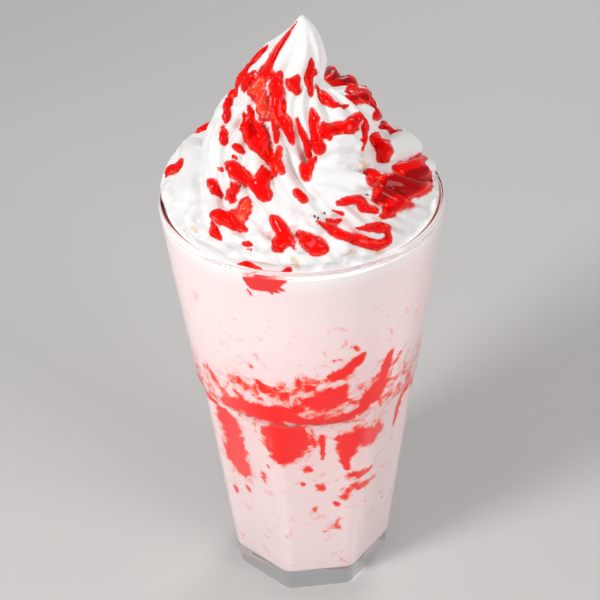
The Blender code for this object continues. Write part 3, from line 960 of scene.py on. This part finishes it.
# Strands on the near side: body from thin to thick, then marks picked in the cream view
# as across, down and width
STRANDS = {
    "peak_left": (1.0, (770, 112, 8), (740, 150, 16), (700, 210, 26), (662, 270, 34), (640, 320, 40),
        (612, 365, 54), (602, 388, 66)),
    "peak_left_foot": (1.0, (585, 395, 20), (640, 398, 24), (680, 395, 26)),
    "left_edge_a": (1.1, (612, 243, 14), (585, 278, 44), (545, 322, 46), (495, 378, 44), (462, 430, 44),
        (432, 485, 42), (408, 540, 36), (397, 590, 38), (402, 630, 26)),
    "left_edge_b": (1.0, (385, 668, 22), (378, 700, 42), (388, 738, 32)),
    "hook": (1.0, (547, 372, 14), (525, 402, 44), (500, 442, 42), (492, 470, 20)),
    "smear": (0.3, (578, 415, 50), (560, 470, 84), (580, 540, 84), (600, 600, 60)),
    "mid_a": (1.0, (680, 388, 26), (655, 440, 54), (660, 520, 62), (680, 600, 60), (708, 660, 58),
        (735, 715, 40), (744, 745, 22)),
    "blob_a": (0.9, (772, 408, 26), (745, 432, 56), (762, 468, 44)),
    "right_of_peak": (0.9, (840, 312, 16), (832, 375, 44), (834, 440, 42), (842, 498, 20)),
    "dark_dot": (1.6, (868, 372, 14), (868, 386, 16)),
    "mid_b": (1.0, (488, 598, 34), (495, 650, 54), (522, 705, 62), (558, 760, 60), (585, 800, 46)),
    "mid_c": (1.0, (516, 560, 18), (540, 610, 42), (575, 670, 46), (598, 720, 44), (590, 780, 40)),
    "mid_e": (0.8, (640, 625, 18), (662, 705, 32), (660, 742, 18)),
    "mid_f": (0.7, (618, 755, 26), (636, 815, 24), (630, 850, 14)),
    "long_drop": (1.0, (770, 622, 18), (790, 690, 34), (818, 755, 38), (836, 820, 46), (822, 880, 64),
        (815, 918, 50)),
    "long_drop_side": (1.0, (868, 818, 12), (845, 850, 34)),
    "drop_b": (1.0, (846, 575, 20), (860, 622, 42), (858, 685, 38), (864, 738, 46), (882, 770, 54)),
    "fold_a": (1.0, (876, 455, 24), (905, 508, 54), (955, 545, 36), (1005, 560, 22), (1036, 552, 10)),
    "back_a": (1.7, (926, 372, 37), (962, 408, 80), (1010, 428, 74), (1052, 440, 58), (1090, 442, 24)),
    "back_a_foot": (1.7, (1035, 460, 14), (1030, 480, 20), (1050, 490, 14)),
    "back_b": (1.6, (1052, 520, 50), (1100, 515, 68), (1142, 500, 52)),
    "back_c": (1.4, (1158, 515, 25), (1166, 558, 50), (1180, 600, 40), (1215, 642, 34), (1258, 690, 20)),
    "cap_band": (1.2, (905, 645, 16), (912, 690, 52), (960, 692, 74), (1020, 672, 56), (1068, 642, 60),
        (1098, 612, 36)),
    "cap_band_low": (1.2, (908, 712, 20), (940, 722, 24)),
    "cap_drop": (1.0, (1096, 588, 12), (1128, 630, 18), (1120, 690, 50), (1120, 740, 36),
        (1114, 776, 20)),
    "right_a": (1.0, (1162, 715, 44), (1205, 742, 66), (1232, 785, 58), (1216, 835, 50)),
    "right_b": (1.0, (1140, 885, 28), (1165, 910, 66), (1155, 940, 44)),
    "right_c": (1.0, (1285, 880, 34), (1330, 880, 76), (1388, 852, 58), (1434, 822, 34)),
    "pool": (1.7, (1180, 1045, 30), (1232, 1005, 100), (1300, 992, 150), (1380, 960, 112),
        (1450, 938, 72), (1490, 962, 26)),
    "pool_foot": (1.3, (1300, 1040, 90), (1258, 1092, 70), (1218, 1128, 30)),
    "under_pool": (1.0, (985, 1062, 22), (1040, 1050, 42), (1095, 1045, 42), (1120, 1088, 46),
        (1180, 1102, 30)),
    "fork_low": (1.0, (876, 1158, 14), (940, 1192, 36), (1020, 1232, 46), (1110, 1262, 48),
        (1195, 1278, 52), (1245, 1255, 46)),
    "fork_up": (1.0, (1255, 1240, 30), (1228, 1185, 48), (1145, 1192, 34), (1082, 1192, 16)),
    "fork_bit": (0.8, (922, 1150, 16), (970, 1160, 26), (1000, 1148, 12)),
    "fork_bit_b": (0.8, (958, 1102, 12), (1000, 1118, 22)),
    "dot_a": (1.0, (772, 1006, 36), (802, 1030, 46)),
    "front_drop": (1.0, (782, 1222, 28), (820, 1256, 66), (868, 1288, 72), (902, 1300, 52)),
    "front_b": (1.0, (648, 1150, 46), (680, 1200, 68), (700, 1240, 80), (672, 1285, 52),
        (688, 1308, 24)),
    "front_b_foot": (0.7, (735, 1262, 26), (755, 1298, 16)),
    "left_a": (0.9, (306, 945, 18), (328, 962, 44), (342, 995, 38), (372, 1022, 16), (420, 1056, 8)),
    "left_b": (1.0, (422, 962, 20), (442, 985, 46), (436, 1020, 56), (424, 1046, 28)),
    "left_c": (0.9, (402, 852, 20), (440, 888, 64), (482, 922, 56), (522, 952, 64), (562, 990, 74),
        (600, 1012, 60), (622, 1036, 24)),
    "mid_d": (1.0, (590, 872, 18), (598, 912, 56), (580, 958, 70)),
    "mid_d_side": (1.0, (606, 884, 16), (640, 922, 22)),
    "left_d": (1.0, (328, 1118, 34), (380, 1128, 70), (430, 1150, 74), (478, 1182, 46), (506, 1202, 18)),
    "mottle": (0.3, (508, 1050, 40), (492, 1090, 70), (478, 1130, 60)),
    "left_e": (0.8, (326, 1170, 36), (338, 1210, 46), (372, 1246, 22)),
    "far_left": (1.0, (88, 902, 40), (120, 878, 66), (154, 862, 50)),
    "bit_a": (0.8, (352, 878, 10), (376, 888, 18)),
    "bit_b": (0.8, (446, 765, 28), (470, 778, 34), (494, 800, 12)),
    "bit_c": (0.8, (436, 818, 16), (450, 826, 14)),
    "rim_front": (1.0, (458, 1392, 20), (510, 1388, 42), (560, 1408, 44), (584, 1428, 14)),
    "low_bit": (0.6, (492, 1276, 20), (528, 1274, 22)),
    "low_bit_b": (0.7, (512, 1302, 10), (528, 1306, 10)),
    "pool_top": (1.7, (1240, 950, 70), (1310, 935, 100), (1390, 905, 80), (1440, 890, 50)),
    "film_a": (0.6, (600, 800, 36), (640, 850, 44), (655, 905, 30)),
    "film_b": (0.5, (680, 780, 30), (660, 840, 44), (690, 900, 30)),
}
# Sauce on the cream just under the rim, seen through the glass
RIM_STRANDS = {
    "rim_patch": (1.0, (505, 1442, 24), (560, 1468, 66), (640, 1474, 56), (705, 1450, 26)),
    "rim_patch_up": (1.0, (698, 1432, 20), (724, 1420, 26)),
    "rim_patch_low": (0.8, (640, 1512, 18), (704, 1502, 10)),
    "rim_patch_left": (0.8, (520, 1500, 12), (540, 1528, 8)),
}
# Caramel stains on the cream, and one orange spot at a petal's tip that is a painted glint
CARAMEL_AND_GLINT = {
    "front": (1.0, (748, 1352, 18), (762, 1378, 30), (776, 1404, 18)),
    "front_right": (1.0, (1028, 1330, 12), (1050, 1314, 24), (1078, 1318, 12)),
    "rim": (0.8, (1180, 1328, 10), (1205, 1318, 16), (1232, 1312, 10)),
    # A painted glint: an orange spot painted in the stains' tan colour
    "fold_painted_glint": (0.8, (1098, 848, 18), (1118, 856, 30), (1140, 864, 18)),
    "left": (0.6, (218, 1186, 16), (240, 1204, 22)),
}
# Strawberry seeds in the cream view, as across and down
SEEDS = ((858, 1130), (876, 1141), (903, 1121), (1128, 1030), (596, 660), (470, 975), (452, 1160))
SEED_LENGTH = 0.0009
SEED_SHAPE = (0.36, 0.55, 0.30)


def back_strands(skin):
    """Strands of the same kind on the far side, which run down from three tiers of the coil."""
    strands = []
    for k in range(BACK_STRANDS):
        draw = noise.random_unit_vector(size=4)
        azimuth = drawn(STRAND_AZIMUTH, GOLDEN_SHARE * k % 1.0)
        start = STRAND_TIERS[k % len(STRAND_TIERS)] + TIER_SPREAD * draw[0]
        run = drawn(STRAND_RUN, draw[1])
        width = drawn(STRAND_WIDTH, draw[3]) / 1000.0
        points = []
        for step, swell in enumerate(STRAND_SWELL):
            angle = math.radians(azimuth + STRAND_TURN * step * draw[2])
            above = polar((start + run * step) / 1000.0, angle, ABOVE_CREAM)
            points.append((skin.ray_cast(above, Vector((0.0, 0.0, -1.0)))[0], width * swell))
        strands.append((1.0, points))
    return strands


def line_cover(mesh, skin, lines):
    """How far each point of the cream lies inside the nearest line, with its body and width."""
    cover = [BARE] * len(mesh.vertices)
    body_of = [1.0] * len(mesh.vertices)
    width_of = [0.0] * len(mesh.vertices)
    wobble = [sum(noise_height(v.co, *waves) for waves in EDGE_WOBBLE) for v in mesh.vertices]
    speckle = [abs(noise.noise(v.co * SPECKLE_SCALE)) for v in mesh.vertices]
    tree = vertex_tree(mesh)
    for body, points in lines:
        for place, width in sized_samples(points, SAUCE_STEP):
            half = width / 2.0
            spot = skin.find_nearest(place)[0]
            for _, index, distance in tree.find_range(spot, half * COVER_REACH):
                inside = 1.0 - (distance / (half * (1.0 + wobble[index]))) ** 2
                inside -= max(SPECKLE_BODY - body, 0.0) * SPECKLE_GAIN * speckle[index]
                if inside > cover[index]:
                    cover[index] = inside
                    body_of[index] = body
                    width_of[index] = width
    return cover, body_of, width_of


def cream_mark(skin, across, down, width):
    """The place on the cream behind a mark, or nearest to it, and the mark's width there."""
    for step in range(MISS_STEPS):
        aside = (CREAM_VIEW_MIDDLE[0] - across) * MISS_SHARE * step
        lower = (CREAM_VIEW_MIDDLE[1] - down) * MISS_DOWN * MISS_SHARE * step
        line = sight_line(CREAM_VIEW, across + aside, down + lower)
        spot = skin.ray_cast(scene.camera.matrix_world.translation, line)[0]
        if spot is not None:
            return spot, mark_size(CREAM_VIEW, spot, width)


def marked_lines(skin, rows):
    return [(body, [cream_mark(skin, *mark) for mark in marks]) for body, *marks in rows.values()]


def near_strands(skin):
    strands = marked_lines(skin, STRANDS)
    for body, *marks in RIM_STRANDS.values():
        strands.append((body, [wall_mark(CREAM_VIEW, *mark) for mark in marks]))
    return [(body, [(place, SAUCE_SPREAD * width) for place, width in points])
            for body, points in strands]


def soften_sauce(bm):
    bmesh.ops.smooth_vert(bm, verts=bm.verts, factor=SAUCE_SOFTENING,
                          use_axis_x=True, use_axis_y=True, use_axis_z=True)


def make_sauce(source, cover, body_of, width_of):
    bm = bmesh.new()
    bm.from_mesh(source)
    bm.verts.ensure_lookup_table()
    depth = bm.verts.layers.float.new("depth")
    rise = bm.verts.layers.float.new("rise")
    for vertex in bm.verts:
        i = vertex.index
        inside = max(cover[i], 0.0)
        vertex[depth] = body_of[i] * inside**0.5
        full = min(SAUCE_RISE, RISE_SHARE * width_of[i]) * min(body_of[i], RISE_LIMIT)
        sink = EDGE_SINK * min(cover[i], 0.0) / -SAUCE_BORDER
        vertex[rise] = full * min(1.0, 2.0 * inside) ** 0.5 + sink
    bare = [v for v in bm.verts if cover[v.index] < SAUCE_BORDER or v.co.z < SAUCE_BOTTOM]
    bmesh.ops.delete(bm, geom=bare, context="VERTS")
    bmesh.ops.delete(bm, geom=[v for v in bm.verts if not v.link_faces], context="VERTS")
    bm.normal_update()
    normals = {v: v.normal.copy() for v in bm.verts}
    for _ in range(3):
        soften_sauce(bm)
    for vertex in bm.verts:
        vertex.co += normals[vertex] * vertex[rise]
    soften_sauce(bm)
    sauce = new_object("sauce", bm)
    body = sauce.modifiers.new("body", "SOLIDIFY")
    body.thickness = SAUCE_SKIN
    body.offset = -1.0
    apply_modifiers(sauce)
    sauce.data.shade_smooth()
    return sauce


def sauce_finish():
    """Orange-pink where it is thin, pure red over most of it and dark red where it pools."""
    made, tree, shader = new_material("strawberry_sauce")
    mixed = add_blotches(tree, "depth", Scale=500.0, Detail=3.0, Swing=0.5)
    spread = tree.nodes.new("ShaderNodeMath")
    spread.operation = "MULTIPLY"
    spread.inputs[1].default_value = 0.65
    tree.links.new(mixed, spread.inputs[0])
    tint = add_ramp(tree, spread.outputs["Value"],
                    (0.0, (0.90, 0.30, 0.20)), (0.14, (0.95, 0.06, 0.02)),
                    (0.30, (1.0, 0.003, 0.002)), (0.72, (0.94, 0.001, 0.001)),
                    (1.0, (0.42, 0.0, 0.0)))
    tree.links.new(tint.outputs["Color"], shader.inputs["Base Color"])
    shader.inputs["Roughness"].default_value = 0.12
    shader.inputs["IOR"].default_value = 1.36
    shader.inputs["Specular IOR Level"].default_value = 0.3
    return made


def make_seeds(skin):
    """Small brown seeds that lie half sunk in the sauce and the cream."""
    shape = Matrix.Diagonal((*(SEED_LENGTH * share for share in SEED_SHAPE), 1.0))
    bm = bmesh.new()
    for across, down in SEEDS:
        place, normal = skin.find_nearest(cream_mark(skin, across, down, 0.0)[0])[:2]
        turned = normal.to_track_quat("Z", "Y").to_matrix().to_4x4()
        moved = Matrix.Translation(place + normal * SAUCE_RISE)
        bmesh.ops.create_icosphere(bm, subdivisions=3, radius=1.0, matrix=moved @ turned @ shape)
    seeds = smooth_object("seeds", bm)
    husk, tree, shader = new_material("strawberry_seed")
    grain = place_effect(tree, blotches, Scale=2500.0)
    tint = add_ramp(tree, grain.outputs["Value"],
                    (0.0, (0.06, 0.015, 0.006)), (1.0, (0.22, 0.09, 0.03)))
    tree.links.new(tint.outputs["Color"], shader.inputs["Base Color"])
    shader.inputs["Roughness"].default_value = 0.35
    seeds.data.materials.append(husk)
    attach(seeds, "root")


def mix_in(tree, blend, amount, colour, other):
    """A colour with another one blended in by an amount."""
    mix = tree.nodes.new("ShaderNodeMix")
    mix.data_type = "RGBA"
    mix.blend_type = blend
    tree.links.new(amount, mix.inputs["Factor"])
    tree.links.new(colour, mix.inputs["A"])
    mix.inputs["B"].default_value = (*other, 1.0)
    return mix.outputs["Result"]


def cream_finish():
    """White whip with a satin skin, stained pink along the sauce and tinted towards the drink."""
    made, tree, shader = new_material("whipped_cream_skin")
    mixed = add_blotches(tree, "stain", Scale=420.0, Detail=4.0, Swing=0.8)
    tint = add_ramp(tree, mixed,
                    (0.22, (0.92, 0.91, 0.90)), (0.48, (0.92, 0.70, 0.66)),
                    (0.80, (0.85, 0.01, 0.008)))
    place = tree.nodes.new("ShaderNodeTexCoord")
    split = tree.nodes.new("ShaderNodeSeparateXYZ")
    tree.links.new(place.outputs["Object"], split.inputs["Vector"])
    sunk = tree.nodes.new("ShaderNodeMapRange")
    sunk.interpolation_type = "SMOOTHSTEP"
    sunk.inputs["From Min"].default_value = GLASS_HEIGHT - 0.001
    sunk.inputs["From Max"].default_value = GLASS_HEIGHT - 0.010
    tree.links.new(split.outputs["Z"], sunk.inputs["Value"])
    pinker = mix_in(tree, "MULTIPLY", sunk.outputs["Result"], tint.outputs["Color"], (1.0, 0.85, 0.86))
    # Caramel stains and one painted orange glint share this tan colour
    caramel_and_glint = tree.nodes.new("ShaderNodeAttribute")
    caramel_and_glint.attribute_name = "caramel_and_glint"
    with_caramel_and_glint = mix_in(tree, "MIX", caramel_and_glint.outputs["Fac"], pinker, (0.84, 0.58, 0.36))
    tree.links.new(with_caramel_and_glint, shader.inputs["Base Color"])
    add_bumps(tree, shader, Scale=1100.0, Detail=3.0, Strength=0.12, Distance=0.0003)
    shader.inputs["Roughness"].default_value = 0.42
    shader.inputs["Subsurface Weight"].default_value = 0.1
    shader.inputs["Subsurface Radius"].default_value = (1.0, 0.9, 0.85)
    shader.inputs["Subsurface Scale"].default_value = 0.0012
    return made


def faded(cover, fade, strength):
    """An amount at each point, which fades in as the cover rises."""
    return [strength * smooth((value - fade[0]) / fade[1]) for value in cover]


def dress_cream():
    noise.seed_set(SAUCE_SEED)
    skin = BVHTree.FromPolygons([v.co for v in cream.data.vertices],
                                [f.vertices for f in cream.data.polygons])
    cover, body_of, width_of = line_cover(cream.data, skin, near_strands(skin) + back_strands(skin))
    sauce = make_sauce(cream.data, cover, body_of, width_of)
    # Where the caramel stains and the painted orange glint lie on the cream
    caramel_and_glint_cover = line_cover(cream.data, skin, marked_lines(skin, CARAMEL_AND_GLINT))[0]
    keep_values(cream.data, "stain", faded(cover, STAIN_FADE, 1.0))
    keep_values(cream.data, "caramel_and_glint", faded(caramel_and_glint_cover, CARAMEL_AND_GLINT_FADE, CARAMEL_AND_GLINT_STRENGTH))
    make_seeds(skin)
    cream.data.materials.clear()
    cream.data.materials.append(cream_finish())
    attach(cream, "root")
    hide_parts("whipped_cream")
    sauce.data.materials.clear()
    sauce.data.materials.append(sauce_finish())
    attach(sauce, "root")


dress_cream()
